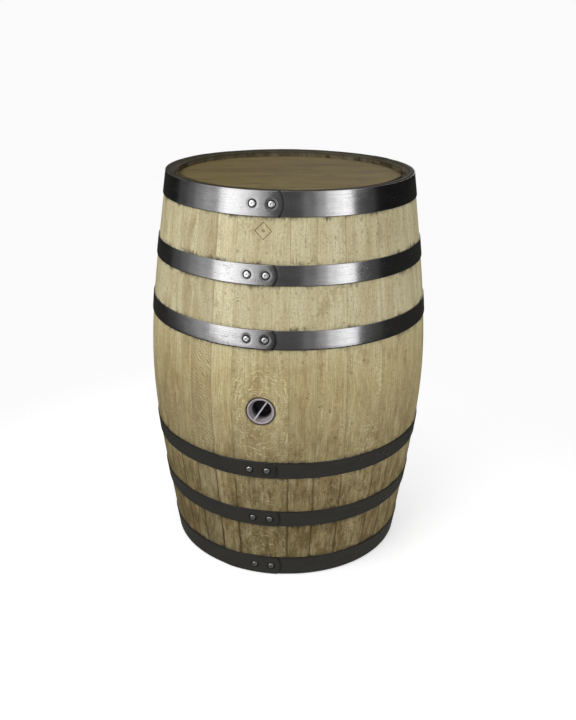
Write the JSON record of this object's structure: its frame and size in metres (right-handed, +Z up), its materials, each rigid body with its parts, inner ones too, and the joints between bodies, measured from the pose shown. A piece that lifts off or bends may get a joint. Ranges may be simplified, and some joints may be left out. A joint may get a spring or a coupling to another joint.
{
  "type": "wine barrel",
  "caption": "Upright oak wine barrel: bent staves, recessed jointed heads, lapped and riveted steel hoops, and a hollow bung that pulls out of the bung hole at mid-height.",
  "frame": {"origin": "centre of the lower end, in the plane that the stave ends stand on", "axes": "+Z up along the barrel's axis, -Y out of the bung"},
  "size_m": [0.6879, 0.688, 0.95],
  "materials": {
    "stave_oak": "planed and sanded raw oak, vertical grain with pale ray flecks, a few dark iron stains",
    "head_oak": "raw oak gone brown, fine grain along the boards",
    "hoop_steel": "dark rolled steel strip, semi-gloss, fine scratches along the strip",
    "rivet_steel": "bright zinc-plated steel",
    "bung_silicone": "translucent pale grey-violet silicone, satin"
  },
  "bodies": {
    "barrel": {"bung_stave": "stave_oak", "stave_02": "stave_oak", "stave_03": "stave_oak", "stave_04": "stave_oak", "stave_05": "stave_oak", "stave_06": "stave_oak", "stave_07": "stave_oak", "stave_08": "stave_oak", "stave_09": "stave_oak", "stave_10": "stave_oak", "stave_11": "stave_oak", "stave_12": "stave_oak", "stave_13": "stave_oak", "stave_14": "stave_oak", "stave_15": "stave_oak", "stave_16": "stave_oak", "stave_17": "stave_oak", "stave_18": "stave_oak", "stave_19": "stave_oak", "stave_20": "stave_oak", "stave_21": "stave_oak", "stave_22": "stave_oak", "stave_23": "stave_oak", "stave_24": "stave_oak", "stave_25": "stave_oak", "stave_26": "stave_oak", "stave_27": "stave_oak", "stave_28": "stave_oak", "stave_29": "stave_oak", "top_head_board_1": "head_oak", "top_head_board_2": "head_oak", "top_head_board_3": "head_oak", "top_head_board_4": "head_oak", "top_head_board_5": "head_oak", "top_head_board_6": "head_oak", "bottom_head_board_1": "head_oak", "bottom_head_board_2": "head_oak", "bottom_head_board_3": "head_oak", "bottom_head_board_4": "head_oak", "bottom_head_board_5": "head_oak", "bottom_head_board_6": "head_oak", "head_hoop_top": "hoop_steel", "quarter_hoop_top": "hoop_steel", "bilge_hoop_top": "hoop_steel", "bilge_hoop_bottom": "hoop_steel", "quarter_hoop_bottom": "hoop_steel", "head_hoop_bottom": "hoop_steel", "head_hoop_top_rivet_1": "rivet_steel", "head_hoop_top_rivet_2": "rivet_steel", "quarter_hoop_top_rivet_1": "rivet_steel", "quarter_hoop_top_rivet_2": "rivet_steel", "bilge_hoop_top_rivet_1": "rivet_steel", "bilge_hoop_top_rivet_2": "rivet_steel", "bilge_hoop_bottom_rivet_1": "rivet_steel", "bilge_hoop_bottom_rivet_2": "rivet_steel", "quarter_hoop_bottom_rivet_1": "rivet_steel", "quarter_hoop_bottom_rivet_2": "rivet_steel", "head_hoop_bottom_rivet_1": "rivet_steel", "head_hoop_bottom_rivet_2": "rivet_steel"},
    "bung": {"bung": "bung_silicone"}
  },
  "joints": [
    {"name": "bung_pull", "type": "slide", "parent": "barrel", "child": "bung", "axis": [0, -1, 0], "range_m": [0, 0.08]}
  ]
}
